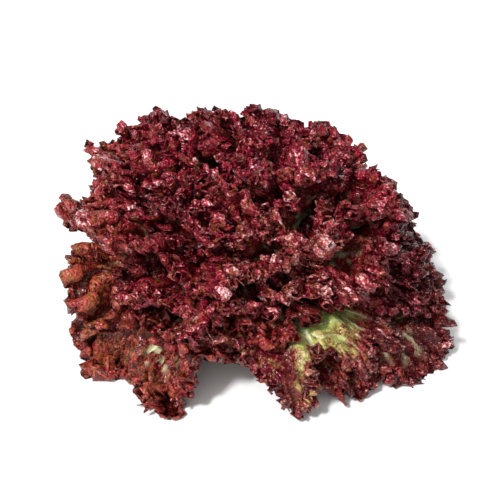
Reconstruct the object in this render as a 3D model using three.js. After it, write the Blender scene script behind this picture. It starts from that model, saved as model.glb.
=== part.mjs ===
// A head of lollo rosso lettuce: a short cut stem with loose leaves spiralling up it to the heart.
// Each leaf is a thin closed blade whose margin is ruffled, and the margins together make the dome.
// Millimetres, +Z up. The origin is the centre of the cut face that the head stands on, and -Y is its front.
import * as THREE from "three";

const TURN = 2 * Math.PI;
const degrees = (angle) => (angle * Math.PI) / 180;
const mix = (a, b, share) => a + (b - a) * share;

// Stem: height above the cut face and radius there, from the cut face to the growing tip
const STEM_OUTLINE = [
  [0, 17],
  [3, 18.5],
  [12, 19],
  [34, 14],
  [46, 8],
  [50, 3],
];
const STEM_SIDES = 24;
const STEM_GAP = 1.6;
const LOWEST_LEAF_Z = 12;
const HIGHEST_LEAF_Z = 46;

// Dome: the surface that the leaf tips reach, squarer than an ellipse and flared at its foot
const DOME_RADIUS = 113;
const DOME_CENTRE_Z = 30;
const DOME_RISE = 114;
const DOME_POWER = 0.95;
const OUTERMOST_ANGLE = degrees(104);
const FLARE = 0.06;
const FLARE_POWER = 6;

// The head is pressed to its depth, and its heart leans to the left and to the front
const DEPTH_SHARE = 0.92;
const LEAN_X = -0.23;
const LEAN_Y = -0.28;

// Ribs: how steeply a leaf leaves the stem, from the heart to the outermost, and how far its tip bends over
const HEART_RISE_ANGLE = degrees(4);
const OUTER_RISE_ANGLE = degrees(58);
const HEART_BEND = degrees(4);
const OUTER_BEND = degrees(56);
const BEND_POWER = 3;
const RISE_REACH = 0.33;
const BEND_REACH = 0.4;

// Leaves: their spiral, and the flat blade as shares of the leaf's length
const LEAF_COUNT = 40;
const GOLDEN_ANGLE = Math.PI * (3 - Math.sqrt(5));
const FIRST_AZIMUTH = degrees(10);
const LAYER_POWER = 0.64;
const HEART_WIDTH = 70;
const OUTER_WIDTH = 150;
const PETIOLE_SHARE = 0.2;
const HEART_PETIOLE_WIDTH = 8;
const OUTER_PETIOLE_WIDTH = 15;
const BLADE_CIRCLE = 0.44;
const BLADE_CENTRE = 0.36;
const MARGIN_SWEEP = degrees(98);
const HEART_WRAP = degrees(85);
const OUTER_WRAP = degrees(44);
const REACH_SPREAD = 0.09;
const AZIMUTH_SPREAD = degrees(7);

// Lobes of the margin: how many, and their size as a share of the blade
const LOBES = [
  { count: 2, size: 0.06 },
  { count: 5, size: 0.06 },
  { count: 9, size: 0.06 },
];

// Leaves that aren't quite in their place: the leaf's number, how much longer it is than the dome asks,
// as a share of its length, and how far it is turned
const LOOSE_LEAVES = new Map([
  [1, { longer: 0.08, turned: 0 }],
  [3, { longer: 0.06, turned: 0 }],
  [4, { longer: -0.18, turned: 0 }],
  [8, { longer: -0.05, turned: 0 }],
  [11, { longer: -0.03, turned: 0 }],
  [13, { longer: 0.08, turned: 0 }],
  [16, { longer: -0.06, turned: 0 }],
  [17, { longer: 0.01, turned: 0 }],
  [18, { longer: -0.07, turned: 0 }],
  [21, { longer: -0.05, turned: 0 }],
  [22, { longer: 0.05, turned: 0 }],
  [23, { longer: -0.06, turned: 0 }],
  [25, { longer: -0.05, turned: 0 }],
  [26, { longer: -0.04, turned: 0 }],
  [28, { longer: -0.06, turned: degrees(-14) }],
  [30, { longer: 0.06, turned: 0 }],
  [31, { longer: 0.02, turned: degrees(-26) }],
  [33, { longer: 0.24, turned: degrees(2) }],
  [34, { longer: -0.09, turned: 0 }],
  [36, { longer: -0.13, turned: 0 }],
  [38, { longer: 0.08, turned: degrees(-12) }],
  [39, { longer: 0.07, turned: degrees(-4) }],
]);
const IN_PLACE = { longer: 0, turned: 0 };

// Thickness at the rib's foot and in the blade, and how far towards the margin the blade thins
const PETIOLE_THICKNESS = 1.7;
const BLADE_THICKNESS = 0.8;
const THIN_FROM = 0.5;

// Leaves that hang to the floor level out on it, the outermost lowest and the inner ones over it
const FLOOR_CLEARANCE = 0.6;
const FLOOR_STACK = 30;
const FLOOR_SOFTNESS = 4;

// Waves that carry the leaves to and fro across the layers. Neighbouring leaves share them, so none cross.
// Each has its size as a share of the way from the heart to the outermost layer, its number round the head,
// its turns from layer to layer and along a leaf, its growth along a leaf and outwards, and its phase at the
// outermost tip.
const WAVES = [
  { size: 0.08, round: 5, layers: 0.2, turns: 0.2, growth: 1.5, outward: 2, phase: degrees(20) },
  { size: 0.05, round: 8, layers: -0.7, turns: 0.5, growth: 1.5, outward: 0, phase: degrees(40) },
  { size: 0.032, round: 13, layers: 1.2, turns: -1.2, growth: 1.8, outward: 0, phase: degrees(200) },
  { size: 0.022, round: 23, layers: -2.2, turns: 2.5, growth: 2, outward: 0, phase: 0 },
];

// Parting at the front right, where the leaves above it are lifted and those below it hang down
const PARTING = { azimuth: degrees(-66), spread: degrees(22), layer: 0.83, depth: 0.14, size: 0.05 };

// Mesh: the rows of a blade as shares of the way from the petiole to the margin, and the steps across each
const BLADE_ROWS = [0, 0.3, 0.55, 0.76, 0.9, 1];
const ROW_STEPS = [2, 4, 8, 16, 32, 32];
const PETIOLE_STEPS = 2;

// Seeds of the fixed scatter, and the number of each thing that it varies
const LEAF_SEED = 12.9898;
const DRAW_SEED = 78.233;
const SEED_SPREAD = 43758.5453;
const AZIMUTH_DRAW = 1;
const REACH_DRAW = 2;
const LOBE_DRAW = 40;

// Groups of leaves from the heart outwards: the layer where each begins, and its colour
const LEAF_GROUPS = [
  { name: "heart_leaf", from: 0, color: 0x5a1424 },
  { name: "middle_leaf", from: 0.45, color: 0x6a1a2a },
  { name: "outer_leaf", from: 0.8, color: 0x7a3030 },
];
const LEAF_ROUGHNESS = 0.5;
const STEM_COLOR = 0xc9cf9a;
const STEM_ROUGHNESS = 0.6;

// The round head pressed and leaning
const HEAD_SHAPE = new THREE.Matrix4();
HEAD_SHAPE.set(1, 0, LEAN_X, 0, 0, DEPTH_SHARE, LEAN_Y, 0, 0, 0, 1, 0, 0, 0, 0, 1);

// A fixed scatter from 0 to 1 for each leaf and each thing that varies on it
function scatter(leaf, draw) {
  const spread = Math.sin(leaf * LEAF_SEED + draw * DRAW_SEED) * SEED_SPREAD;
  return spread - Math.floor(spread);
}

function stemRadius(z) {
  const above = STEM_OUTLINE.findIndex(([height]) => height >= z);
  const [lowZ, lowRadius] = STEM_OUTLINE[Math.max(above - 1, 0)];
  const [highZ, highRadius] = STEM_OUTLINE[above];
  return highZ > lowZ ? mix(lowRadius, highRadius, (z - lowZ) / (highZ - lowZ)) : highRadius;
}

// A sine or cosine raised to the dome's power with its sign kept
const squared = (value) => Math.sign(value) * Math.abs(value) ** DOME_POWER;

// The rib of a layer, 0 at the heart and 1 at the outermost, as a curve of radius and height
function ribCurve(layer) {
  const outward = Math.max(layer, 0);
  const rimAngle = OUTERMOST_ANGLE * layer;
  const rise = mix(HEART_RISE_ANGLE, OUTER_RISE_ANGLE, layer);
  const arrive = rimAngle + mix(HEART_BEND, OUTER_BEND, outward ** BEND_POWER);
  const footZ = mix(HIGHEST_LEAF_Z, LOWEST_LEAF_Z, Math.min(outward, 1));
  const foot = new THREE.Vector2(stemRadius(footZ) + STEM_GAP, footZ);
  const tip = new THREE.Vector2(
    DOME_RADIUS * squared(Math.sin(rimAngle)) * (1 + FLARE * outward ** FLARE_POWER),
    DOME_CENTRE_Z + DOME_RISE * squared(Math.cos(rimAngle)),
  );
  const span = foot.distanceTo(tip);
  const leaving = new THREE.Vector2(Math.sin(rise), Math.cos(rise)).multiplyScalar(RISE_REACH * span);
  const arriving = new THREE.Vector2(Math.sin(arrive), Math.cos(arrive)).multiplyScalar(BEND_REACH * span);
  return new THREE.CubicBezierCurve(foot, foot.clone().add(leaving), tip.clone().sub(arriving), tip);
}

// How far one wave carries a point across the layers
function wave({ size, round, layers, turns, growth, outward, phase }, layer, along, azimuth) {
  const angle = round * azimuth + TURN * (layers * (layer - 1) + turns * (along - 1)) + phase;
  return size * along ** growth * layer ** outward * Math.sin(angle);
}

// How far the parting carries a point across the layers: away from its layer, and most near to it
function parted(layer, along, azimuth) {
  const turned = azimuth - PARTING.azimuth;
  const away = Math.atan2(Math.sin(turned), Math.cos(turned)) / PARTING.spread;
  const beside = (layer - PARTING.layer) / PARTING.depth;
  return PARTING.size * along * Math.exp(-(away ** 2)) * beside * Math.exp((1 - beside ** 2) / 2);
}

// The flat blade: share of the length and millimetres across, for a place on the margin from -1 to 1
function flatPoint(leaf, toMargin, place) {
  const sweep = MARGIN_SWEEP * place;
  const edge =
    BLADE_CENTRE * Math.cos(sweep) + Math.sqrt(BLADE_CIRCLE ** 2 - (BLADE_CENTRE * Math.sin(sweep)) ** 2);
  const lobes = LOBES.map(({ count, size }) => {
    const phase = scatter(leaf.number, LOBE_DRAW + count);
    return size * Math.sin(TURN * ((count * place) / 2 + phase));
  });
  const opened = toMargin * (1 + toMargin ** 2 * lobes.reduce((sum, lobe) => sum + lobe, 0));
  const half = leaf.width / 2 / BLADE_CIRCLE;
  return {
    along: leaf.reach * (PETIOLE_SHARE + opened * edge * Math.cos(sweep)),
    across: mix((leaf.petioleWidth / 2) * place, half * edge * Math.sin(sweep), opened),
  };
}

// The height of a point of a leaf that the floor keeps up
function aboveFloor(leaf, height) {
  const lowest = FLOOR_CLEARANCE + FLOOR_STACK * (1 - leaf.layer);
  const over = height - lowest;
  return lowest + (over + Math.hypot(over, FLOOR_SOFTNESS)) / 2;
}

// A point of the leaf's middle surface in the head
function headPoint(leaf, { along, across }) {
  const plainRadius = ribCurve(leaf.layer).getPoint(along).x;
  const azimuth = leaf.azimuth + leaf.wrap * Math.tanh(across / plainRadius / leaf.wrap);
  const waves = WAVES.map((one) => wave(one, leaf.layer, along, azimuth));
  const layer = waves.reduce((sum, one) => sum + one, leaf.layer + parted(leaf.layer, along, azimuth));
  const { x: radius, y: height } = ribCurve(layer).getPoint(along);
  return new THREE.Vector3(
    radius * Math.cos(azimuth),
    radius * Math.sin(azimuth),
    aboveFloor(leaf, height),
  );
}

// Rows of points from the leaf's foot to its margin, each with its half thickness
function leafRows(leaf) {
  const across = (steps) => Array.from({ length: steps + 1 }, (_, step) => (2 * step) / steps - 1);
  const foot = across(PETIOLE_STEPS).map((place) => ({
    point: headPoint(leaf, { along: 0, across: (leaf.petioleWidth / 2) * place }),
    half: PETIOLE_THICKNESS / 2,
  }));
  const blade = BLADE_ROWS.map((toMargin, row) =>
    across(ROW_STEPS[row]).map((place) => ({
      point: headPoint(leaf, flatPoint(leaf, toMargin, place)),
      half: mix(PETIOLE_THICKNESS, BLADE_THICKNESS, Math.min(1, toMargin / THIN_FROM)) / 2,
    })),
  );
  return [foot, ...blade];
}

// Triangles between neighbouring rows. A row has as many steps as the one before it, or twice as many.
function rowTriangles(rows) {
  const triangles = [];
  let start = 0;
  for (let row = 0; row + 1 < rows.length; row += 1) {
    const next = start + rows[row].length;
    const steps = rows[row].length - 1;
    const doubled = rows[row + 1].length - 1 > steps;
    for (let step = 0; step < steps; step += 1) {
      const [a, b] = [start + step, start + step + 1];
      if (doubled) {
        const [c, d, e] = [0, 1, 2].map((more) => next + 2 * step + more);
        triangles.push([a, d, c], [a, b, d], [b, e, d]);
      } else {
        const [c, d] = [next + step, next + step + 1];
        triangles.push(...(step < steps / 2 ? [[a, b, c], [b, d, c]] : [[a, b, d], [a, d, c]]));
      }
    }
    start = next;
  }
  return triangles;
}

// A closed blade: the sheet moved to both sides by half its thickness, split alike, with a strip round it
function bladeGeometry(rows) {
  const sheet = rows.flat();
  const triangles = rowTriangles(rows);
  const middle = new THREE.BufferGeometry().setFromPoints(sheet.map(({ point }) => point));
  middle.setIndex(triangles.flat());
  middle.computeVertexNormals();
  const normals = middle.getAttribute("normal");
  const side = (sign) =>
    sheet.map(({ point, half }, i) =>
      point.clone().addScaledVector(new THREE.Vector3().fromBufferAttribute(normals, i), sign * half),
    );
  const count = sheet.length;
  const edges = new Set(triangles.flatMap(([a, b, c]) => [`${a},${b}`, `${b},${c}`, `${c},${a}`]));
  const strip = [...edges]
    .map((edge) => edge.split(",").map(Number))
    .filter(([a, b]) => !edges.has(`${b},${a}`))
    .flatMap(([a, b]) => [
      [b, a, a + count],
      [b, a + count, b + count],
    ]);
  const back = triangles.map(([a, b, c]) => [a + count, c + count, b + count]);
  const geometry = new THREE.BufferGeometry().setFromPoints([...side(1), ...side(-1)]);
  geometry.setIndex([...triangles, ...back, ...strip].flat());
  return geometry;
}

function leafSpec(number) {
  const layer = ((number + 0.5) / LEAF_COUNT) ** LAYER_POWER;
  const { longer, turned } = LOOSE_LEAVES.get(number) ?? IN_PLACE;
  const astray = AZIMUTH_SPREAD * (2 * scatter(number, AZIMUTH_DRAW) - 1);
  return {
    number,
    layer,
    azimuth: FIRST_AZIMUTH + GOLDEN_ANGLE * number + astray + turned,
    width: mix(HEART_WIDTH, OUTER_WIDTH, layer),
    petioleWidth: mix(HEART_PETIOLE_WIDTH, OUTER_PETIOLE_WIDTH, layer),
    wrap: mix(HEART_WRAP, OUTER_WRAP, layer),
    reach: 1 + REACH_SPREAD * (2 * scatter(number, REACH_DRAW) - 1) + longer,
  };
}

function namedMesh(name, geometry, color, roughness) {
  geometry.applyMatrix4(HEAD_SHAPE);
  const material = new THREE.MeshStandardMaterial({ color, roughness, metalness: 0 });
  const mesh = new THREE.Mesh(geometry, material);
  mesh.name = name;
  return mesh;
}

function stemMesh() {
  const tip = STEM_OUTLINE.at(-1)[0];
  const outline = [[0, 0], ...STEM_OUTLINE.map(([z, radius]) => [radius, z]), [0, tip]];
  const geometry = new THREE.LatheGeometry(
    outline.map(([radius, z]) => new THREE.Vector2(radius, z)),
    STEM_SIDES,
  );
  geometry.rotateX(Math.PI / 2);
  return namedMesh("stem", geometry, STEM_COLOR, STEM_ROUGHNESS);
}

const head = new THREE.Group();
head.name = "lollo_rosso_lettuce";
head.add(stemMesh());
const counts = LEAF_GROUPS.map(() => 0);
for (let number = 0; number < LEAF_COUNT; number += 1) {
  const leaf = leafSpec(number);
  const group = LEAF_GROUPS.findLastIndex(({ from }) => leaf.layer >= from);
  counts[group] += 1;
  const { name, color } = LEAF_GROUPS[group];
  const label = `${name}_${String(counts[group]).padStart(2, "0")}`;
  head.add(namedMesh(label, bladeGeometry(leafRows(leaf)), color, LEAF_ROUGHNESS));
}

export default head;
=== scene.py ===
"""Looks of a head of lollo rosso lettuce.

Each leaf becomes a finely frilled blade on the rib that it grew on, and the stem gets its scars and fibres.
"""

import math
from dataclasses import dataclass

import bpy
import numpy as np
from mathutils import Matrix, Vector


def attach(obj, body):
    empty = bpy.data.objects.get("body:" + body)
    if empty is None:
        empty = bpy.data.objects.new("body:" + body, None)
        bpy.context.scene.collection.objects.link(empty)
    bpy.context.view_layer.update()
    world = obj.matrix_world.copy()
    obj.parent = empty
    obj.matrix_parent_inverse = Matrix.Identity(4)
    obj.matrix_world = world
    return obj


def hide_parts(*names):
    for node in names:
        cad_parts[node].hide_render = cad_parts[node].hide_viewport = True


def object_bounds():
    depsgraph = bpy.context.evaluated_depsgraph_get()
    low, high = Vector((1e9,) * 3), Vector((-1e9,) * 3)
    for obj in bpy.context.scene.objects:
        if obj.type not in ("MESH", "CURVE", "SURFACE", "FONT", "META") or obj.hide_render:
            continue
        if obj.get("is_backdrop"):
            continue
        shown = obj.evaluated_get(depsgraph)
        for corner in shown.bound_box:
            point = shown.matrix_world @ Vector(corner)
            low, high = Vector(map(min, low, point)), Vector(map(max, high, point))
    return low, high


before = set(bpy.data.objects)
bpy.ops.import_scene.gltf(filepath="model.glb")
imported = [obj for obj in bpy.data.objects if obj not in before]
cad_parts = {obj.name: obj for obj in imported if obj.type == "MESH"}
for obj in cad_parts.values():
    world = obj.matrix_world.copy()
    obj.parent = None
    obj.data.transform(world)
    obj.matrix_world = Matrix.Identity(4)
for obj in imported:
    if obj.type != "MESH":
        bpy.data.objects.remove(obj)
CAD_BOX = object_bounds()

MM = 0.001
TURN = 2 * math.pi
TINY = 1e-9

# Stem: height above the cut face and radius there, in millimetres
STEM_OUTLINE = [(0, 17), (3, 18.5), (12, 19), (34, 14), (46, 8), (50, 3)]
STEM_GAP = 1.6
LOWEST_LEAF_Z = 12
HIGHEST_LEAF_Z = 46

# Dome that the leaf tips reach, squarer than an ellipse and flared at its foot
DOME_RADIUS = 113
DOME_CENTRE_Z = 30
DOME_RISE = 114
DOME_POWER = 0.95
OUTERMOST_ANGLE = math.radians(104)
FLARE = 0.06
FLARE_POWER = 6

# The head is pressed to its depth, and its heart leans to the left and to the front
DEPTH_SHARE = 0.92
LEAN_X = -0.23
LEAN_Y = -0.28

# Ribs: values at the heart and at the outermost leaf
RISE_ANGLES = (math.radians(4), math.radians(58))
BEND_ANGLES = (math.radians(4), math.radians(56))
BEND_POWER = 3
RISE_REACH = 0.33
BEND_REACH = 0.4

# Leaves: their spiral, and the flat blade as shares of the leaf's length
LEAF_COUNT = 40
GOLDEN_ANGLE = math.pi * (3 - math.sqrt(5))
FIRST_AZIMUTH = math.radians(10)
LAYER_POWER = 0.64
LENGTHS = (80, 130)
WIDTHS = (70, 150)
PETIOLE_SHARE = 0.2
PETIOLE_WIDTHS = (8, 15)
BLADE_CIRCLE = 0.44
BLADE_CENTRE = 0.36
MARGIN_SWEEP = math.radians(98)
WRAPS = (math.radians(85), math.radians(44))
REACH_SPREAD = 0.09
AZIMUTH_SPREAD = math.radians(7)
LOBES = [(2, 0.06), (5, 0.06), (9, 0.06)]
LEAF_GROUPS = [("heart_leaf", 0), ("middle_leaf", 0.45), ("outer_leaf", 0.8)]

# Leaves out of place: how much longer each is, and how far it is turned
LOOSE_LEAVES = {
    1: (0.08, 0),
    3: (0.06, 0),
    4: (-0.18, 0),
    8: (-0.05, 0),
    11: (-0.03, 0),
    13: (0.08, 0),
    16: (-0.06, 0),
    17: (0.01, 0),
    18: (-0.07, 0),
    21: (-0.05, 0),
    22: (0.05, 0),
    23: (-0.06, 0),
    25: (-0.05, 0),
    26: (-0.04, 0),
    28: (-0.06, math.radians(-14)),
    30: (0.06, 0),
    31: (0.02, math.radians(-26)),
    33: (0.24, math.radians(2)),
    34: (-0.09, 0),
    36: (-0.13, 0),
    38: (0.08, math.radians(-12)),
    39: (0.07, math.radians(-4)),
}
IN_PLACE = (0, 0)

# Waves that carry the leaves to and fro across the layers, which neighbouring leaves share
WAVES = [
    dict(size=0.08, round=5, layers=0.2, turns=0.2, growth=1.5, outward=2, phase=math.radians(20)),
    dict(size=0.05, round=8, layers=-0.7, turns=0.5, growth=1.5, outward=0, phase=math.radians(40)),
    dict(size=0.032, round=13, layers=1.2, turns=-1.2, growth=1.8, outward=0, phase=math.radians(200)),
    dict(size=0.022, round=23, layers=-2.2, turns=2.5, growth=2, outward=0, phase=0),
]
PARTING = dict(azimuth=math.radians(-66), spread=math.radians(22), layer=0.83, depth=0.14, size=0.05)

# Floor: leaves that hang to it level out on it, the outermost lowest
FLOOR_CLEARANCE = 0.6
FLOOR_STACK = 30
FLOOR_SOFTNESS = 4

# Thickness at the foot and in the blade, how far out it thins, and how far the foot is sunk into the stem
PETIOLE_THICKNESS = 1.7
BLADE_THICKNESS = 0.6
THIN_FROM = 0.5
FOOT_SINK = 3

# Relief of the blade in millimetres, and where on the way to the margin it starts and is full
BLISTERS = [dict(length=13, height=3.0), dict(length=6.5, height=1.4), dict(length=3.0, height=0.7)]
BLISTER_RISE = (0.05, 0.35)
FLOP = dict(length=30, height=10)
FLOP_RISE = (0.3, 1.1)
FRILLS = [
    dict(length=13, height=4.2, curl=0.2, reach=50, bend=0.45, crest=0.5, calming=-1),
    dict(length=6.0, height=2.8, curl=0.2, reach=28, bend=0.45, crest=0.7, calming=1),
    dict(length=3.4, height=1.5, curl=0.15, reach=14, bend=0.4, crest=0.6, calming=3),
]
FRILL_RISE = (0.1, 0.4)
FOLD_SHARPNESS = 0.97

# Frills at the heart and at the outermost leaf
FINENESS = (0.75, 1.1)
FRILL_STRENGTHS = (1.1, 1.0)
FRILL_REACHES = (0.9, 1.5)

# How the frills' bends and strengths vary, over so many frills along the margin and in from it
BEND_STRETCH = (1.6, 1.2)
STRENGTH_STRETCH = (1.7, 3)
STRENGTH_START = 7
STRENGTH_MIDDLE = 0.9
STRENGTH_SPREAD = 0.8

# Round lobes along the margin, with heights at the heart and at the outermost leaf
SCALLOPS = [
    dict(length=19, heights=(3, 9), reach=26),
    dict(length=4.0, heights=(2.6, 2.6), reach=7),
]
SCALLOP_MIDDLE = 0.75
SCALLOP_BEND = 0.5
SCALLOP_STRETCH = 1.5

# Leaves with broad lobes, and how strong their finer frills are beside those of other leaves
BROAD_LEAVES = {25: 0.75, 28: 0.85, 30: 0.65, 33: 0.7, 36: 0.8, 38: 0.65}

# The opened leaf, frilled only near its margin, so that its ribs and green panels show
OPEN_LEAF = 31
OPEN_FRILL = 0.9
OPEN_FINENESS = 0.7
OPEN_REACH = 0.45
OPEN_PUCKER = 0.5

# Veins in millimetres: the midrib and its side ribs, which bend a little and fade before the margin
RIB_HEIGHT = 1.2
RIB_WIDTH = 1.7
RIB_TAPER = 1.6
RIB_FADE = (0.5, 0.95)
RIB_BEND_LENGTH = 25
MIDRIB_FLANK = (0.6, 1.1)
MIDRIB_BEND = 2.5
SIDE_RIB_SPACING = 17
SIDE_RIB_SLOPE = 1.1
SIDE_RIB_FLANK = (0.3, 0.7)
SIDE_RIB_BEND = 4
SIDE_RIB_SHARE = 0.8
SIDE_RIB_SHIFT = 0.5

# Fine mesh: step along the margin at the heart and at the outermost leaf, and the rows below the blade
COLUMN_STEPS = (0.66, 0.85)
MARGIN_SAMPLES = 1201
PETIOLE_ROWS = 6

# Bands of the blade's rows: outer end, count of rows, and stride, of which only one column is kept
BANDS = [(0.3, 3, 16), (0.55, 4, 8), (0.76, 6, 4), (0.9, 6, 2), (1.0, 8, 1)]
OPEN_BANDS = [(0.3, 9, 2), (0.55, 10, 1), (0.76, 10, 1), (0.9, 7, 1), (1.0, 8, 1)]
WIDEST_STRIDE = 16

# Stem's mesh, its sunken pith, and the scars and fibres on its side, in millimetres
STEM_COLUMNS = 96
STEM_FACE_ROWS = 14
STEM_SIDE_ROWS = 50
PITH_SINK = 0.8
PITH_RIM = (0.35, 0.6)
SCAR_COUNT = 10
SCAR_LOWEST = 3
SCAR_RISE = 0.8
SCAR_WIDTH = 18
SCAR_HEIGHT = 5
SCAR_DEPTH = 0.9
SCAR_EDGE = (0.3, 0.5)
FIBRE_HEIGHT = 0.5
FIBRE_WIDTH = 2.4
FIBRE_LENGTH = 16

# Map that the leaves are baked to: the share that each side takes, and the room left round it
BAKE_SHARE = 0.5
BAKE_EDGE = 0.005

# Seeds of the fixed scatter, and the number of each thing that it varies
LEAF_SEED = 12.9898
DRAW_SEED = 78.233
SEED_SPREAD = 43758.5453
AZIMUTH_DRAW = 1
REACH_DRAW = 2
PHASE_DRAW = 8
LOBE_DRAW = 40
TONE_DRAW = 90

# Noise: its cells before it repeats, its gain, and the seed of each thing that it shapes on a leaf
NOISE_CELLS = 64
NOISE_GAIN = 1.5
SEEDS_PER_LEAF = 100
FRILL_SEED = 0
STRENGTH_SEED = 10
BLISTER_SEED = 50
SCALLOP_SEED = 60
FLOP_SEED = 80
RIB_SEED = 90
STEM_SEED = 7

# Colours of a leaf from its green foot to its margin, painted shade (depth) in its hollows and dark
# stretches, and painted light (crest) on the crests of its frills
OLIVE = (0.16, 0.1, 0.02)
LEAF_LOOK = dict(
    foot=(0.42, 0.52, 0.12),
    turning=OLIVE,
    patchy=0.6,
    redness=-0.15,
    red_beside=0.0,
    speckle=1.0,
)
HEART_LOOK = dict(
    LEAF_LOOK,
    blade=(0.18, 0.007, 0.011),
    margin=(0.18, 0.003, 0.017),
    depth=(0.03, 0.0006, 0.003),
    crest=(0.44, 0.036, 0.062),
)
MIDDLE_LOOK = dict(
    LEAF_LOOK,
    blade=(0.18, 0.009, 0.012),
    margin=(0.18, 0.003, 0.014),
    depth=(0.03, 0.0008, 0.003),
    crest=(0.44, 0.038, 0.06),
)
OUTER_LOOK = dict(
    LEAF_LOOK,
    blade=(0.19, 0.018, 0.014),
    margin=(0.16, 0.005, 0.012),
    depth=(0.034, 0.0012, 0.0025),
    crest=(0.44, 0.06, 0.05),
)
LOOKS = {
    "heart_leaf": HEART_LOOK,
    "middle_leaf": MIDDLE_LOOK,
    "outer_leaf": OUTER_LOOK,
    "broad_leaf": dict(OUTER_LOOK, speckle=0.7, margin=(0.17, 0.005, 0.012)),
    "open_leaf": dict(
        OUTER_LOOK,
        foot=(0.38, 0.64, 0.13),
        turning=(0.36, 0.34, 0.09),
        blade=(0.22, 0.03, 0.03),
        margin=(0.12, 0.006, 0.014),
        redness=-0.75,
        red_beside=0.5,
        patchy=1.1,
        speckle=0.5,
        crest=(0.56, 0.28, 0.22),
    ),
}
RUST = (0.46, 0.1, 0.045)
OCHRE = (0.17, 0.085, 0.01)
# Painted glint: the pale pink of highlights on the frill crests
PAINTED_GLINT = (0.88, 0.62, 0.64)
UNDERSIDE = (0.24, 0.03, 0.028)
PALE_RIB = (0.72, 0.74, 0.44)

# Sizes of a leaf's markings in millimetres
MARK_DETAIL = 3.0
WIDE_MARK = 40
PATCH_MARK = 9
OCHRE_MARK = 6
FINE_MARK = 2.6
GRAIN_MARK = 1.3
NET_CELL = 2.6

# Redness at which each colour of a leaf begins and is full, and what differs from leaf to leaf
TURNING_RED = (0.25, 0.5)
BLADE_RED = (0.5, 0.8)
MARGIN_RED = (0.85, 1.1)
TONE_RED = 0.12

# The opened leaf's green panels lie about a plane across the head, and it is red beside them, in metres
OPEN_X = 0.027
OPEN_BESIDE = (0.012, 0.034)

# Rust on the broad leaves and on the head's left side, with patches of olive, and ochre all over
RUST_LEAF = 0.8
RUST_LEFT = 0.3
RUST_SIDE = (-0.06, -0.12)
RUST_PATCHES = (0.3, 0.5)
OLIVE_PATCHES = (0.52, 0.62)
OCHRE_PATCHES = (0.5, 0.64)
OCHRE_MOST = 0.5

# Dark stretches of the red blade: random ones, and painted shade on the head's right side
SHADE = dict(wide=0.7, patchy=0.4, right=0.24)
SHADE_SIDE = (0.05, 0.09)
SHADE_PATCHES = (0.52, 0.74)
SHADE_RED = (0.6, 0.9)

# Relief from the frill crests and random flecks, which paints light on the crests and shade in the hollows,
# and a spot of the head where the crests' painted light is paler and spreads further
RELIEF = dict(crest=0.3, fine=1.2, grain=1.3, rust=-0.5, paler=0.13, start=-1.25)
PALER_AT = (0.01, -0.108, 0.098)
PALER_WITHIN = (0.06, 0.02)
PALER_CREST = (0.58, 0.17, 0.13)
PAINTED_LIGHT_RELIEF = (0.12, 0.6)
PAINTED_LIGHT_MOST = 0.85
PAINTED_GLINT_RELIEF = (0.4, 0.8)
PAINTED_GLINT_MOST = 0.9
PAINTED_SHADE_RELIEF = (0.1, -0.25)
PAINTED_SHADE_MOST = 0.95
PAINTED_SHADE_RED = (0.4, 0.7)

# Underside, ribs and the net of veins, which pale where the leaf is green
UNDERSIDE_FROM = (0.5, -0.5)
UNDERSIDE_MOST = 0.2
NET_WALL = (0.15, 0.0)
NET_MOST = 0.2
NET_RED = (0.75, 0.4)
RIB_RED = (1.1, 0.6)

# Skin of a leaf: its bumps, and its gloss from the roughness of its fine markings
LEAF_BUMP = dict(fine=1.0, grain=0.3, net=0.5)
LEAF_BUMP_WALL = (0.0, 0.25)
LEAF_BUMP_STRENGTH = 0.7
LEAF_BUMP_DISTANCE = 1.6 * MM
LEAF_ROUGHNESS = dict(fine=0.34, start=0.08)
LEAF_SKIN = dict(
    Specular_IOR_Level=0.48,
    Specular_Tint=(1.0, 0.5, 0.5),
    Coat_Weight=0.1,
    Coat_Roughness=0.12,
    Subsurface_Weight=0.1,
    Subsurface_Radius=(1.0, 0.25, 0.2),
    Subsurface_Scale=1.0 * MM,
)

# Stem: streaked flesh with browned scars, and a cut face that is stained in a ring and at its rim
FLESH = (0.6, 0.64, 0.36)
FLESH_STREAK = (0.42, 0.5, 0.2)
CUT_FLESH = (0.72, 0.68, 0.46)
BROWNED = (0.34, 0.19, 0.08)
STEM_PATCH_MARK = 6
STEM_FINE_MARK = 1.5
STEM_GRAIN_MARK = 0.5
STREAKS = (0.35, 0.65)
SCAR_PATCHES = (0.25, 0.55)
RING_INSIDE = (0.62, 0.72)
RING_OUTSIDE = (0.82, 0.72)
CUT_RIM = (0.85, 1.0)
STAIN = dict(ring=0.6, rim=0.5, patchy=0.8, grain=0.3, start=-0.5)
STAINED = (0.15, 0.75)
STEM_BUMP = dict(fine=1.0, grain=0.5)
STEM_BUMP_STRENGTH = 0.5
STEM_BUMP_DISTANCE = 0.6 * MM
STEM_ROUGHNESS = dict(fine=0.3, start=0.3)
STEM_SKIN = dict(
    Specular_IOR_Level=0.4,
    Subsurface_Weight=0.2,
    Subsurface_Radius=(1.0, 0.8, 0.4),
    Subsurface_Scale=1.5 * MM,
)

# Sockets of a colour mix, whose names are shared with those for plain numbers
MIX_SHARE = 0
MIX_FIRST = 6
MIX_SECOND = 7
MIX_RESULT = 2

# Stage in metres: a pale floor, soft lights, a small light that draws the highlights, and the camera
FLOOR_SIZE = 20
FLOOR_COLOUR = (0.9, 0.9, 0.9, 1)
FLOOR_ROUGHNESS = 0.9
SUNS = {
    "overhead": dict(strength=1.8, angle=math.radians(50), direction=(0.15, 1.2, -1)),
    "spark": dict(strength=3.8, angle=math.radians(7), direction=(0.45, 0.9, -1)),
    "behind": dict(strength=1.4, angle=math.radians(60), direction=(-0.3, -1, -0.5)),
}
FILL_COLOUR = (1, 1, 1, 1)
FILL_STRENGTH = 0.08
CAMERA_TARGET = (-0.0155, 0, 0.0464)
CAMERA_DISTANCE = 0.74
CAMERA_ELEVATION = math.radians(30)
CAMERA_LENS = 85


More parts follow.
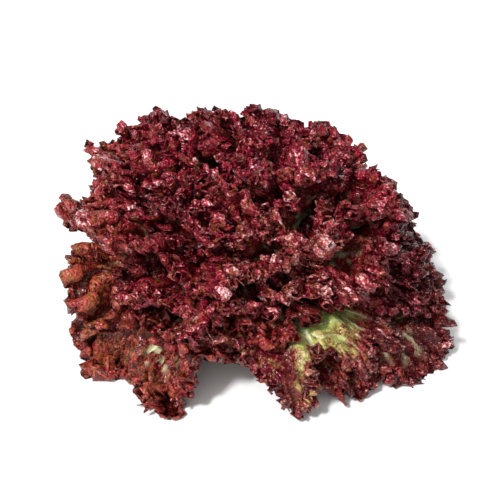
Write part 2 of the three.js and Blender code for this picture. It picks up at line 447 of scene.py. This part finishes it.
@dataclass
class Leaf:
    number: int
    node: str
    group: str
    layer: float
    azimuth: float
    length: float
    width: float
    petiole: float
    wrap: float
    reach: float
    frill: float
    fineness: float
    frill_reach: float
    calm: float
    pucker: float

    def seed(self, kind, octave=0):
        return SEEDS_PER_LEAF * self.number + kind + octave


@dataclass
class Sheet:
    """A leaf's middle surface: rows from the foot to the margin, with columns along the margin."""

    points: np.ndarray
    strides: list
    to_margin: np.ndarray
    across: np.ndarray
    along: np.ndarray
    margin_run: np.ndarray
    depth: np.ndarray
    rib: np.ndarray
    crest: np.ndarray


def mix(pair, share):
    return pair[0] + (pair[1] - pair[0]) * share


def scatter(leaf, draw):
    """A fixed number from 0 to 1 for each leaf and each thing that varies on it."""
    spread = math.sin(leaf * LEAF_SEED + draw * DRAW_SEED) * SEED_SPREAD
    return spread - math.floor(spread)


def smooth(low, high, value):
    share = np.clip((value - low) / (high - low), 0, 1)
    return share * share * (3 - 2 * share)


def noise(x, y, seed):
    """Gradient noise of about -1 to 1 at points of a plane."""
    angles = np.random.default_rng(seed).uniform(0, TURN, (NOISE_CELLS, NOISE_CELLS))
    column, row = np.floor(x).astype(int), np.floor(y).astype(int)
    right, up = x - column, y - row

    def corner(dx, dy):
        angle = angles[(column + dx) % NOISE_CELLS, (row + dy) % NOISE_CELLS]
        return np.cos(angle) * (right - dx) + np.sin(angle) * (up - dy)

    to_right, to_up = smooth(0, 1, right), smooth(0, 1, up)
    low = corner(0, 0) * (1 - to_right) + corner(1, 0) * to_right
    high = corner(0, 1) * (1 - to_right) + corner(1, 1) * to_right
    return NOISE_GAIN * (low * (1 - to_up) + high * to_up)


def stem_radius(z):
    heights, radii = zip(*STEM_OUTLINE)
    return np.interp(z, heights, radii)


def squared(value):
    """A sine or cosine raised to the dome's power with its sign kept."""
    return np.sign(value) * np.abs(value) ** DOME_POWER


def rib_point(layer, along):
    """Radius and height on the rib of a layer, 0 at the heart and 1 at the outermost."""
    outward = np.maximum(layer, 0)
    rim_angle = OUTERMOST_ANGLE * layer
    rise = mix(RISE_ANGLES, layer)
    arrive = rim_angle + mix(BEND_ANGLES, outward**BEND_POWER)
    foot_z = mix((HIGHEST_LEAF_Z, LOWEST_LEAF_Z), np.minimum(outward, 1))
    foot = np.stack([stem_radius(foot_z) + STEM_GAP, foot_z], -1)
    tip_radius = DOME_RADIUS * squared(np.sin(rim_angle)) * (1 + FLARE * outward**FLARE_POWER)
    tip = np.stack([tip_radius, DOME_CENTRE_Z + DOME_RISE * squared(np.cos(rim_angle))], -1)
    span = np.linalg.norm(tip - foot, axis=-1)[..., None]
    leaving = foot + RISE_REACH * span * np.stack([np.sin(rise), np.cos(rise)], -1)
    arriving = tip - BEND_REACH * span * np.stack([np.sin(arrive), np.cos(arrive)], -1)
    u = along[..., None]
    curve = (1 - u) ** 3 * foot + 3 * u * (1 - u) ** 2 * leaving + 3 * u**2 * (1 - u) * arriving + u**3 * tip
    return curve[..., 0], curve[..., 1]


def wave(one, layer, along, azimuth):
    """How far one wave carries a point across the layers."""
    turns = TURN * (one["layers"] * (layer - 1) + one["turns"] * (along - 1))
    angle = one["round"] * azimuth + turns + one["phase"]
    return one["size"] * along ** one["growth"] * layer ** one["outward"] * np.sin(angle)


def parted(layer, along, azimuth):
    """How far the parting carries a point across the layers: away from its layer, and most near to it."""
    turned = azimuth - PARTING["azimuth"]
    away = np.arctan2(np.sin(turned), np.cos(turned)) / PARTING["spread"]
    beside = (layer - PARTING["layer"]) / PARTING["depth"]
    return PARTING["size"] * along * np.exp(-(away**2)) * beside * np.exp((1 - beside**2) / 2)


def head_point(leaf, along, across):
    """Points of the leaf's plain middle surface in the round head, in millimetres."""
    plain_radius, _ = rib_point(np.full_like(along, leaf.layer), along)
    azimuth = leaf.azimuth + leaf.wrap * np.tanh(across / plain_radius / leaf.wrap)
    carried = sum(wave(one, leaf.layer, along, azimuth) for one in WAVES)
    layer = leaf.layer + carried + parted(leaf.layer, along, azimuth)
    radius, height = rib_point(layer, along)
    lowest = FLOOR_CLEARANCE + FLOOR_STACK * (1 - leaf.layer)
    over = height - lowest
    height = lowest + (over + np.hypot(over, FLOOR_SOFTNESS)) / 2
    return np.stack([radius * np.cos(azimuth), radius * np.sin(azimuth), height], -1)


def flat_point(leaf, to_margin, place):
    """The flat blade: share of the length and millimetres across, for a place on the margin from -1 to 1."""
    sweep = MARGIN_SWEEP * place
    edge = BLADE_CENTRE * np.cos(sweep) + np.sqrt(BLADE_CIRCLE**2 - (BLADE_CENTRE * np.sin(sweep)) ** 2)
    lobes = sum(
        size * np.sin(TURN * (count * place / 2 + scatter(leaf.number, LOBE_DRAW + count)))
        for count, size in LOBES
    )
    opened = to_margin * (1 + to_margin**2 * lobes)
    half = leaf.width / 2 / BLADE_CIRCLE
    along = leaf.reach * (PETIOLE_SHARE + opened * edge * np.cos(sweep))
    across = (1 - opened) * leaf.petiole / 2 * place + opened * half * edge * np.sin(sweep)
    return along, across


def leaf_relief(number, layer):
    """How strong and how fine the frills and puckers of a leaf are."""
    calm = BROAD_LEAVES.get(number, 1)
    relief = dict(
        frill=mix(FRILL_STRENGTHS, layer**2),
        fineness=mix(FINENESS, layer) / calm,
        frill_reach=mix(FRILL_REACHES, layer),
        calm=calm,
        pucker=calm,
    )
    if number == OPEN_LEAF:
        relief["frill"] *= OPEN_FRILL
        relief.update(fineness=OPEN_FINENESS, frill_reach=OPEN_REACH, pucker=OPEN_PUCKER)
    return relief


def all_leaves():
    counts = {group: 0 for group, _ in LEAF_GROUPS}
    for number in range(LEAF_COUNT):
        layer = ((number + 0.5) / LEAF_COUNT) ** LAYER_POWER
        group = [name for name, start in LEAF_GROUPS if layer >= start][-1]
        counts[group] += 1
        longer, turned = LOOSE_LEAVES.get(number, IN_PLACE)
        astray = AZIMUTH_SPREAD * (2 * scatter(number, AZIMUTH_DRAW) - 1)
        yield Leaf(
            number=number,
            node=f"{group}_{counts[group]:02d}",
            group=group,
            layer=layer,
            azimuth=FIRST_AZIMUTH + GOLDEN_ANGLE * number + astray + turned,
            length=mix(LENGTHS, layer),
            width=mix(WIDTHS, layer),
            petiole=mix(PETIOLE_WIDTHS, layer),
            wrap=mix(WRAPS, layer),
            reach=1 + REACH_SPREAD * (2 * scatter(number, REACH_DRAW) - 1) + longer,
            **leaf_relief(number, layer),
        )


def run_along(points, axis):
    """Distance run along an axis of a grid of points."""
    steps = np.linalg.norm(np.diff(points, axis=axis), axis=-1)
    start = np.zeros_like(np.take(steps, [0], axis=axis))
    return np.cumsum(np.concatenate([start, steps], axis=axis), axis=axis)


def sheet_normals(points):
    """Unit vectors at each point: out of the upper side, across the rows and out to the margin."""
    across = np.gradient(points, axis=1)
    outward = np.gradient(points, axis=0)
    normal = np.cross(outward, across)
    return [v / (np.linalg.norm(v, axis=-1, keepdims=True) + TINY) for v in (normal, across, outward)]


def rib_shape(leaf, to_margin, across, along):
    """The midrib and its side ribs, from 0 beside them to 1 on their crests."""
    run = along * leaf.length
    bend = noise(across / RIB_BEND_LENGTH, run / RIB_BEND_LENGTH, leaf.seed(RIB_SEED))
    width = RIB_WIDTH * (RIB_TAPER - to_margin)
    midrib = 1 - smooth(*MIDRIB_FLANK, np.abs(across + MIDRIB_BEND * bend) / width)
    climb = run - SIDE_RIB_SLOPE * np.abs(across) + SIDE_RIB_BEND * bend
    side = climb / SIDE_RIB_SPACING + SIDE_RIB_SHIFT * (across > 0)
    beside = np.abs(side - np.round(side)) * SIDE_RIB_SPACING / math.hypot(1, SIDE_RIB_SLOPE)
    branch = 1 - smooth(*SIDE_RIB_FLANK, beside / width)
    return np.maximum(midrib, SIDE_RIB_SHARE * branch) * (1 - smooth(*RIB_FADE, to_margin))


def plain_sheet(leaf):
    """The leaf's middle surface before its relief, with columns evenly spaced along its margin."""
    places = np.linspace(-1, 1, MARGIN_SAMPLES)
    along, across = flat_point(leaf, np.ones((1, 1)), places[None, :])
    margin = run_along(head_point(leaf, along, across), 1)[0]
    columns = int(margin[-1] / mix(COLUMN_STEPS, leaf.layer) / WIDEST_STRIDE) * WIDEST_STRIDE
    margin_run = np.linspace(0, margin[-1], columns + 1)
    place = np.interp(margin_run, margin, places)[None, :]
    bands = OPEN_BANDS if leaf.number == OPEN_LEAF else BANDS
    rows = [0.0]
    strides = [bands[0][2]] * (PETIOLE_ROWS + 1)
    for end, count, stride in bands:
        rows.extend(np.linspace(rows[-1], end, count + 1)[1:])
        strides.extend([stride] * count)
    along, across = flat_point(leaf, np.array(rows)[:, None], place)
    climb = np.arange(PETIOLE_ROWS)[:, None] / PETIOLE_ROWS * np.ones_like(place)
    along = np.concatenate([leaf.reach * PETIOLE_SHARE * climb, along])
    across = np.concatenate([leaf.petiole / 2 * place * np.ones_like(climb), across])
    to_margin = np.concatenate([np.zeros(PETIOLE_ROWS), rows])[:, None] * np.ones_like(place)
    points = head_point(leaf, along, across)
    run = run_along(points, 0)
    points[0, :, :2] *= 1 - FOOT_SINK / np.linalg.norm(points[0, :, :2], axis=-1, keepdims=True)
    return Sheet(
        points=points,
        strides=strides,
        to_margin=to_margin,
        across=across,
        along=along,
        margin_run=margin_run[None, :],
        depth=run[-1:] - run,
        rib=rib_shape(leaf, to_margin, across, along),
        crest=np.zeros_like(to_margin),
    )


def pucker(leaf, sheet):
    """Blisters between the ribs, which stay down as grooves on the upper side."""
    normal, _, _ = sheet_normals(sheet.points)
    run = sheet.along * leaf.length
    grown = leaf.pucker * smooth(*BLISTER_RISE, sheet.to_margin)
    height = -RIB_HEIGHT / 2 * sheet.rib
    for octave, one in enumerate(BLISTERS):
        length = one["length"]
        blister = noise(sheet.across / length, run / length, leaf.seed(BLISTER_SEED, octave))
        height = height + one["height"] * grown * blister * (1 - sheet.rib)
    sheet.points = sheet.points + height[..., None] * normal


def scallop(leaf, sheet):
    """Round lobes along the margin with narrow cuts between them."""
    for octave, one in enumerate(SCALLOPS):
        _, _, outward = sheet_normals(sheet.points)
        place = sheet.margin_run / one["length"] / leaf.fineness
        bend = SCALLOP_BEND * noise(place / SCALLOP_STRETCH, 0 * place, leaf.seed(SCALLOP_SEED, octave))
        lobe = np.sqrt(np.abs(np.sin(math.pi * (place + bend)))) - SCALLOP_MIDDLE
        near = 1 - smooth(0, one["reach"], sheet.depth)
        height = mix(one["heights"], leaf.layer)
        sheet.points = sheet.points + (height * near * lobe)[..., None] * outward


def flop(leaf, sheet):
    """Whole stretches of the margin bent up or down."""
    normal, _, _ = sheet_normals(sheet.points)
    length = FLOP["length"]
    bent = noise(sheet.margin_run / length, sheet.depth / length, leaf.seed(FLOP_SEED))
    height = FLOP["height"] * leaf.frill * smooth(*FLOP_RISE, sheet.to_margin) * bent
    sheet.points = sheet.points + height[..., None] * normal


def frill(leaf, sheet):
    """Ever finer folds, each closer to the margin than the last, that meander sideways as they rise."""
    for octave, one in enumerate(FRILLS):
        normal, across, _ = sheet_normals(sheet.points)
        length = one["length"] * leaf.fineness
        x, y = sheet.margin_run / length, sheet.depth / length
        bend = noise(x / BEND_STRETCH[0], y / BEND_STRETCH[1], leaf.seed(FRILL_SEED, octave))
        phase = TURN * (x + one["bend"] * bend + scatter(leaf.number, PHASE_DRAW + octave))
        varied = noise(
            x / STRENGTH_STRETCH[0] + STRENGTH_START,
            y / STRENGTH_STRETCH[1],
            leaf.seed(STRENGTH_SEED, octave),
        )
        grown = leaf.frill * leaf.calm ** one["calming"] * (STRENGTH_MIDDLE + STRENGTH_SPREAD * varied)
        grown = grown * (1 - smooth(0, one["reach"] * leaf.frill_reach, sheet.depth))
        grown = grown * smooth(*FRILL_RISE, sheet.to_margin)
        fold = np.arcsin(FOLD_SHARPNESS * np.sin(phase)) / math.asin(FOLD_SHARPNESS)
        rise = one["height"] * grown * fold
        sideways = one["curl"] * one["height"] * grown * np.sin(2 * phase)
        sheet.crest = sheet.crest + one["crest"] * grown * fold
        sheet.points = sheet.points + rise[..., None] * normal - sideways[..., None] * across


def leaf_sheet(leaf):
    sheet = plain_sheet(leaf)
    for shape in (pucker, scallop, flop, frill):
        shape(leaf, sheet)
    sheet.points[..., 2] = np.maximum(sheet.points[..., 2], FLOOR_CLEARANCE)
    return sheet


def lean(points):
    """The round head pressed and leaning, in metres."""
    x, y, z = np.moveaxis(points, -1, 0)
    return np.stack([x + LEAN_X * z, DEPTH_SHARE * y + LEAN_Y * z, z], -1) * MM


def new_mesh(name, points, faces):
    mesh = bpy.data.meshes.new(name)
    mesh.from_pydata(lean(points).tolist(), [], faces)
    mesh.shade_smooth()
    return mesh


def set_attribute(mesh, name, values):
    layer = mesh.attributes.new(name, "FLOAT", "POINT")
    layer.data.foreach_set("value", values.ravel().astype(np.float32))


def sheet_faces(strides, index):
    """Quads between rows alike, and triangles where the next row has twice the columns."""
    quads, triangles = [], []
    for row, (stride, finer) in enumerate(zip(strides, strides[1:])):
        near, far = index[row], index[row + 1]
        a, b = near[:-1:stride], near[stride::stride]
        c, e = far[:-1:stride], far[stride::stride]
        if stride == finer:
            quads.append(np.stack([c, e, b, a], 1))
        else:
            d = far[finer::stride]
            triangles += [np.stack(corners, 1) for corners in ((c, d, a), (d, b, a), (d, e, b))]
    return np.concatenate(quads), np.concatenate(triangles)


def leaf_mesh(name, leaf, sheet):
    """A closed blade: the sheet moved to both sides by half its thickness, with a strip round its edge."""
    rows, columns = sheet.to_margin.shape
    kept = np.zeros((rows, columns), bool)
    for row, stride in enumerate(sheet.strides):
        kept[row, ::stride] = True
    index = np.cumsum(kept).reshape(rows, columns) - 1
    count = int(kept.sum())
    quads, triangles = sheet_faces(sheet.strides, index)
    foot = index[0, :: sheet.strides[0]]
    edge = np.concatenate([foot[:-1], index[:-1, -1], index[-1, :0:-1], index[:0:-1, 0]])
    after = np.roll(edge, -1)
    strip = np.stack([after + count, edge + count, edge, after], 1)
    normal, _, _ = sheet_normals(sheet.points)
    thinned = np.minimum(1, sheet.to_margin / THIN_FROM)
    upper = normal * mix((PETIOLE_THICKNESS, BLADE_THICKNESS), thinned)[..., None] / 2
    lower = upper + normal * (RIB_HEIGHT * sheet.rib)[..., None]
    points = np.concatenate([(sheet.points + upper)[kept], (sheet.points - lower)[kept]])
    blocks = [quads, triangles, quads[:, ::-1] + count, triangles[:, ::-1] + count, strip]
    mesh = new_mesh(name, points, [face for block in blocks for face in block.tolist()])
    paint_leaf(mesh, leaf, sheet, kept)
    add_bake_map(mesh, sheet, kept, strip)
    return mesh


def paint_leaf(mesh, leaf, sheet, kept):
    """Values that the leaf's material reads, each with its sign on the under side."""
    everywhere = np.ones_like(sheet.to_margin)
    paint = {
        "to_margin": (sheet.to_margin, 1),
        "rib": (sheet.rib, 1),
        "crest": (sheet.crest, -1),
        "rust": ((1 - leaf.calm) * everywhere, 1),
        "tone": (scatter(leaf.number, TONE_DRAW) * everywhere, 1),
        "side": (everywhere, -1),
    }
    for key, (values, below) in paint.items():
        set_attribute(mesh, "leaf_" + key, np.concatenate([values[kept], below * values[kept]]))


def add_bake_map(mesh, sheet, kept, strip):
    """The upper side in the lower half of the map and the under side in the upper half."""
    along = 1 - sheet.depth.mean(axis=1, keepdims=True) / sheet.depth.max()
    across = sheet.margin_run / sheet.margin_run.max()
    filled = np.ones_like(sheet.depth)
    height = BAKE_EDGE + (BAKE_SHARE - 2 * BAKE_EDGE) * along
    upper = np.stack([across * filled, height * filled], -1)[kept]
    under = upper + (0, BAKE_SHARE)
    corners = np.empty(len(mesh.loops), int)
    mesh.loops.foreach_get("vertex_index", corners)
    corners[-strip.size :] %= len(upper)
    layer = mesh.uv_layers.new(name="OFBake")
    layer.data.foreach_set("uv", np.concatenate([upper, under])[corners].ravel())


def stem_scars(turn, z, radius):
    """Scars round the stem's foot where the lowest leaves were stripped, from 0 beside them to 1 in them."""
    scar = np.zeros((len(z), STEM_COLUMNS))
    for number in range(SCAR_COUNT):
        beside = np.angle(np.exp(1j * (turn - GOLDEN_ANGLE * number))) * radius / SCAR_WIDTH
        above = (z - SCAR_LOWEST - SCAR_RISE * number) / SCAR_HEIGHT
        scar = np.maximum(scar, 1 - smooth(*SCAR_EDGE, np.hypot(beside, above)))
    return scar


def stem_mesh(name):
    """The stem: a cut face with a sunken pith, and a side with scars and fibres."""
    cut_radius, tip_height = STEM_OUTLINE[0][1], STEM_OUTLINE[-1][0]
    share = np.linspace(0, 1, STEM_FACE_ROWS + 1)[1:]
    side_z = np.linspace(0, tip_height, STEM_SIDE_ROWS + 1)[1:]
    radius = np.concatenate([cut_radius * share, stem_radius(side_z)])[:, None]
    z = np.concatenate([PITH_SINK * (1 - smooth(*PITH_RIM, share)), side_z])[:, None]
    turn = np.linspace(0, TURN, STEM_COLUMNS, endpoint=False)[None, :]
    on_side = np.concatenate([np.zeros(STEM_FACE_ROWS), np.ones(STEM_SIDE_ROWS)])[:, None]
    scar = on_side * stem_scars(turn, z, radius)
    fibres = FIBRE_HEIGHT * on_side * noise(turn * cut_radius / FIBRE_WIDTH, z / FIBRE_LENGTH, STEM_SEED)
    radius = radius - SCAR_DEPTH * scar - np.abs(fibres)
    points = np.stack([radius * np.cos(turn), radius * np.sin(turn), z + 0 * radius], -1).reshape(-1, 3)
    ends = np.array([[0, 0, PITH_SINK], [0, 0, tip_height]])
    index = np.arange(len(points)).reshape(len(z), STEM_COLUMNS)
    after = np.roll(index, -1, axis=1)
    quads = np.stack([index[:-1], after[:-1], after[1:], index[1:]], -1).reshape(-1, 4)
    foot, tip = len(points), len(points) + 1
    faces = quads.tolist()
    faces += [[foot, b, a] for a, b in zip(index[0], after[0])]
    faces += [[tip, a, b] for a, b in zip(index[-1], after[-1])]
    mesh = new_mesh(name, np.concatenate([points, ends]), faces)
    out = np.concatenate([share, np.ones(STEM_SIDE_ROWS)])[:, None]
    for key, values, at_ends in (("out", out, [0, 1]), ("side", on_side, [0, 1]), ("scar", scar, [0, 0])):
        set_attribute(mesh, "stem_" + key, np.append(values + 0 * scar, at_ends))
    return mesh


class Shading:
    """A new material's nodes, joined by short calls. Values are sockets, numbers or colours."""

    def __init__(self, name):
        self.material = bpy.data.materials.new(name)
        self.material.use_nodes = True
        self.tree = self.material.node_tree
        self.shader = self.tree.nodes["Principled BSDF"]
        self.place = self.node("ShaderNodeTexCoord").outputs["Object"]
        axes = self.node("ShaderNodeSeparateXYZ")
        self.put(axes.inputs[0], self.place)
        self.sideways = axes.outputs["X"]

    def node(self, kind, **settings):
        made = self.tree.nodes.new(kind)
        for key, value in settings.items():
            setattr(made, key, value)
        return made

    def put(self, socket, value):
        if isinstance(value, bpy.types.NodeSocket):
            self.tree.links.new(value, socket)
        elif isinstance(value, tuple) and len(value) == 3 and socket.type == "RGBA":
            socket.default_value = (*value, 1)
        else:
            socket.default_value = value

    def attribute(self, key):
        return self.node("ShaderNodeAttribute", attribute_name=key).outputs["Fac"]

    def noise(self, size):
        """Noise with features of a size in millimetres."""
        made = self.node("ShaderNodeTexNoise")
        self.put(made.inputs["Vector"], self.place)
        self.put(made.inputs["Scale"], 1 / (size * MM))
        self.put(made.inputs["Detail"], MARK_DETAIL)
        return made.outputs["Fac"]

    def net(self, size):
        """Distance from the walls of cells of a size in millimetres."""
        made = self.node("ShaderNodeTexVoronoi", feature="DISTANCE_TO_EDGE")
        self.put(made.inputs["Vector"], self.place)
        self.put(made.inputs["Scale"], 1 / (size * MM))
        return made.outputs["Distance"]

    def distance(self, point):
        """Distance from a point of the head, in metres."""
        made = self.node("ShaderNodeVectorMath", operation="DISTANCE")
        self.put(made.inputs[0], self.place)
        self.put(made.inputs[1], point)
        return made.outputs["Value"]

    def math(self, operation, *values):
        made = self.node("ShaderNodeMath", operation=operation)
        for socket, value in zip(made.inputs, values):
            self.put(socket, value)
        return made.outputs[0]

    def product(self, first, second):
        return self.math("MULTIPLY", first, second)

    def total(self, weights, **values):
        """The sum of values, each times its weight, and of the start that the weights may have."""
        result = weights.get("start", 0.0)
        for key, value in values.items():
            result = self.math("MULTIPLY_ADD", value, weights[key], result)
        return result

    def band(self, value, limits, most=1.0):
        """Rises smoothly from 0 at the first limit to most at the second."""
        made = self.node("ShaderNodeMapRange", interpolation_type="SMOOTHSTEP")
        low, high = limits
        for key, setting in (("Value", value), ("From Min", low), ("From Max", high), ("To Max", most)):
            self.put(made.inputs[key], setting)
        return made.outputs["Result"]

    def blend(self, share, first, second):
        made = self.node("ShaderNodeMix", data_type="RGBA")
        for socket, value in ((MIX_SHARE, share), (MIX_FIRST, first), (MIX_SECOND, second)):
            self.put(made.inputs[socket], value)
        return made.outputs[MIX_RESULT]

    def finish(self, colour, roughness, height, bump_strength, bump_distance, **uniform):
        bump = self.node("ShaderNodeBump")
        self.put(bump.inputs["Strength"], bump_strength)
        self.put(bump.inputs["Distance"], bump_distance)
        self.put(bump.inputs["Height"], height)
        self.put(self.shader.inputs["Normal"], bump.outputs["Normal"])
        self.put(self.shader.inputs["Base Color"], colour)
        self.put(self.shader.inputs["Roughness"], roughness)
        for key, value in uniform.items():
            self.put(self.shader.inputs[key.replace("_", " ")], value)
        return self.material


def leaf_redness(m, look, to_margin, patchy):
    """How far a place on a leaf has turned from green to red."""
    beside = m.math("ABSOLUTE", m.math("SUBTRACT", m.sideways, OPEN_X))
    weights = dict(
        to_margin=1.0,
        patchy=look["patchy"],
        tone=TONE_RED,
        beside=look["red_beside"],
        start=look["redness"],
    )
    return m.total(
        weights,
        to_margin=to_margin,
        patchy=patchy,
        tone=m.attribute("leaf_tone"),
        beside=m.band(beside, OPEN_BESIDE),
    )


def grown_colour(m, look, red, rust, patchy):
    """The leaf from its green foot to its margin, with rusty, olive, ochre and dark patches, and painted
    shade on the head's right side.
    """
    colour = m.blend(m.band(red, TURNING_RED), look["foot"], look["turning"])
    colour = m.blend(m.band(red, BLADE_RED), colour, look["blade"])
    colour = m.blend(m.band(red, MARGIN_RED), colour, look["margin"])
    left = m.band(m.sideways, RUST_SIDE)
    rusty = m.total(dict(rust=RUST_LEAF, left=RUST_LEFT), rust=rust, left=left)
    colour = m.blend(m.product(rusty, m.band(patchy, RUST_PATCHES)), colour, RUST)
    colour = m.blend(m.product(rusty, m.band(patchy, OLIVE_PATCHES)), colour, OLIVE)
    colour = m.blend(m.band(m.noise(OCHRE_MARK), OCHRE_PATCHES, OCHRE_MOST), colour, OCHRE)
    # Painted shade on the head's right side, added to random dark stretches
    right = m.band(m.sideways, SHADE_SIDE)
    shade = m.total(SHADE, wide=m.noise(WIDE_MARK), patchy=patchy, right=right)
    shaded = m.product(m.band(shade, SHADE_PATCHES), m.band(red, SHADE_RED))
    return m.blend(shaded, colour, look["depth"])


def speckled_light_and_shade(m, look, colour, red, rust, fine, grain):
    """Painted light on the crests with painted glints on them, and painted shade in the hollows, broken up
    by random flecks.
    """
    paler = m.band(m.distance(PALER_AT), PALER_WITHIN)
    crest = m.attribute("leaf_crest")
    relief = m.total(RELIEF, crest=crest, fine=fine, grain=grain, rust=rust, paler=paler)
    # Painted light on the frill crests, paler near the spot, broken up by random flecks
    pale = m.blend(paler, look["crest"], PALER_CREST)
    colour = m.blend(m.band(relief, PAINTED_LIGHT_RELIEF, PAINTED_LIGHT_MOST * look["speckle"]), colour, pale)
    # Painted glints where the crests stand highest
    colour = m.blend(m.band(relief, PAINTED_GLINT_RELIEF, PAINTED_GLINT_MOST * look["speckle"]), colour, PAINTED_GLINT)
    # Painted shade in the hollows between the frills
    hollow = m.product(m.band(relief, PAINTED_SHADE_RELIEF, PAINTED_SHADE_MOST), m.band(red, PAINTED_SHADE_RED))
    return m.blend(hollow, colour, look["depth"])


def veined_colour(m, colour, red, net):
    """The duller under side, and the pale ribs and net of veins where the leaf is green."""
    colour = m.blend(m.band(m.attribute("leaf_side"), UNDERSIDE_FROM, UNDERSIDE_MOST), colour, UNDERSIDE)
    veins = m.product(m.band(net, NET_WALL, NET_MOST), m.band(red, NET_RED))
    colour = m.blend(veins, colour, PALE_RIB)
    return m.blend(m.product(m.attribute("leaf_rib"), m.band(red, RIB_RED)), colour, PALE_RIB)


def leaf_material(name, look):
    m = Shading(name)
    to_margin, rust = m.attribute("leaf_to_margin"), m.attribute("leaf_rust")
    patchy, fine, grain, net = m.noise(PATCH_MARK), m.noise(FINE_MARK), m.noise(GRAIN_MARK), m.net(NET_CELL)
    red = leaf_redness(m, look, to_margin, patchy)
    colour = grown_colour(m, look, red, rust, patchy)
    colour = speckled_light_and_shade(m, look, colour, red, rust, fine, grain)
    return m.finish(
        veined_colour(m, colour, red, net),
        m.total(LEAF_ROUGHNESS, fine=fine),
        m.total(LEAF_BUMP, fine=fine, grain=grain, net=m.band(net, LEAF_BUMP_WALL)),
        bump_strength=LEAF_BUMP_STRENGTH * look["speckle"],
        bump_distance=LEAF_BUMP_DISTANCE,
        **LEAF_SKIN,
    )


def stem_material(name):
    m = Shading(name)
    out, side, scar = (m.attribute("stem_" + key) for key in ("out", "side", "scar"))
    patchy, fine, grain = m.noise(STEM_PATCH_MARK), m.noise(STEM_FINE_MARK), m.noise(STEM_GRAIN_MARK)
    skin = m.blend(m.band(fine, STREAKS), FLESH, FLESH_STREAK)
    skin = m.blend(m.product(scar, m.band(patchy, SCAR_PATCHES)), skin, BROWNED)
    ring = m.product(m.band(out, RING_INSIDE), m.band(out, RING_OUTSIDE))
    stain = m.total(STAIN, ring=ring, rim=m.band(out, CUT_RIM), patchy=patchy, grain=grain)
    face = m.blend(m.band(stain, STAINED), CUT_FLESH, BROWNED)
    return m.finish(
        m.blend(side, face, skin),
        m.total(STEM_ROUGHNESS, fine=fine),
        m.total(STEM_BUMP, fine=fine, grain=grain),
        bump_strength=STEM_BUMP_STRENGTH,
        bump_distance=STEM_BUMP_DISTANCE,
        **STEM_SKIN,
    )


def look_of(leaf):
    """The look of a leaf: its group's, unless it is the opened leaf or one with broad lobes."""
    if leaf.number == OPEN_LEAF:
        return "open_leaf"
    if leaf.number in BROAD_LEAVES:
        return "broad_leaf"
    return leaf.group


def add_piece(name, mesh, material):
    mesh.materials.append(material)
    piece = bpy.data.objects.new(name, mesh)
    bpy.context.scene.collection.objects.link(piece)
    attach(piece, "root")
    return piece


def add_floor():
    bpy.ops.mesh.primitive_plane_add(size=FLOOR_SIZE)
    floor = bpy.context.object
    floor.name = "floor"
    material = bpy.data.materials.new("floor")
    material.use_nodes = True
    shader = material.node_tree.nodes["Principled BSDF"]
    shader.inputs["Base Color"].default_value = FLOOR_COLOUR
    shader.inputs["Roughness"].default_value = FLOOR_ROUGHNESS
    floor.data.materials.append(material)
    floor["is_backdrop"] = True


def add_sun(name, strength, angle, direction):
    light = bpy.data.lights.new(name, "SUN")
    light.energy = strength
    light.angle = angle
    lamp = bpy.data.objects.new(name, light)
    lamp.rotation_euler = Vector(direction).to_track_quat("-Z", "Y").to_euler()
    bpy.context.scene.collection.objects.link(lamp)


def add_fill():
    world = bpy.data.worlds.new("fill")
    world.use_nodes = True
    background = world.node_tree.nodes["Background"]
    background.inputs["Color"].default_value = FILL_COLOUR
    background.inputs["Strength"].default_value = FILL_STRENGTH
    bpy.context.scene.world = world


def add_camera():
    camera = bpy.data.objects.new("camera", bpy.data.cameras.new("camera"))
    camera.data.lens = CAMERA_LENS
    towards = Vector((0, -math.cos(CAMERA_ELEVATION), math.sin(CAMERA_ELEVATION)))
    camera.location = Vector(CAMERA_TARGET) + CAMERA_DISTANCE * towards
    camera.rotation_euler = (-towards).to_track_quat("-Z", "Y").to_euler()
    bpy.context.scene.collection.objects.link(camera)
    bpy.context.scene.camera = camera


materials = {key: leaf_material(key, look) for key, look in LOOKS.items()}
for leaf in all_leaves():
    name = leaf.node + "_frilled"
    piece = add_piece(name, leaf_mesh(name, leaf, leaf_sheet(leaf)), materials[look_of(leaf)])
    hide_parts(leaf.node)
stem = add_piece("stem_cut", stem_mesh("stem_cut"), stem_material("stem_flesh"))
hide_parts("stem")

add_floor()
for name, sun in SUNS.items():
    add_sun(name, **sun)
add_fill()
add_camera()
bpy.context.scene.view_settings.view_transform = "Standard"

boxes = {"cad": CAD_BOX, "visual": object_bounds()}
{key: [list(corner) for corner in box] for key, box in boxes.items()}
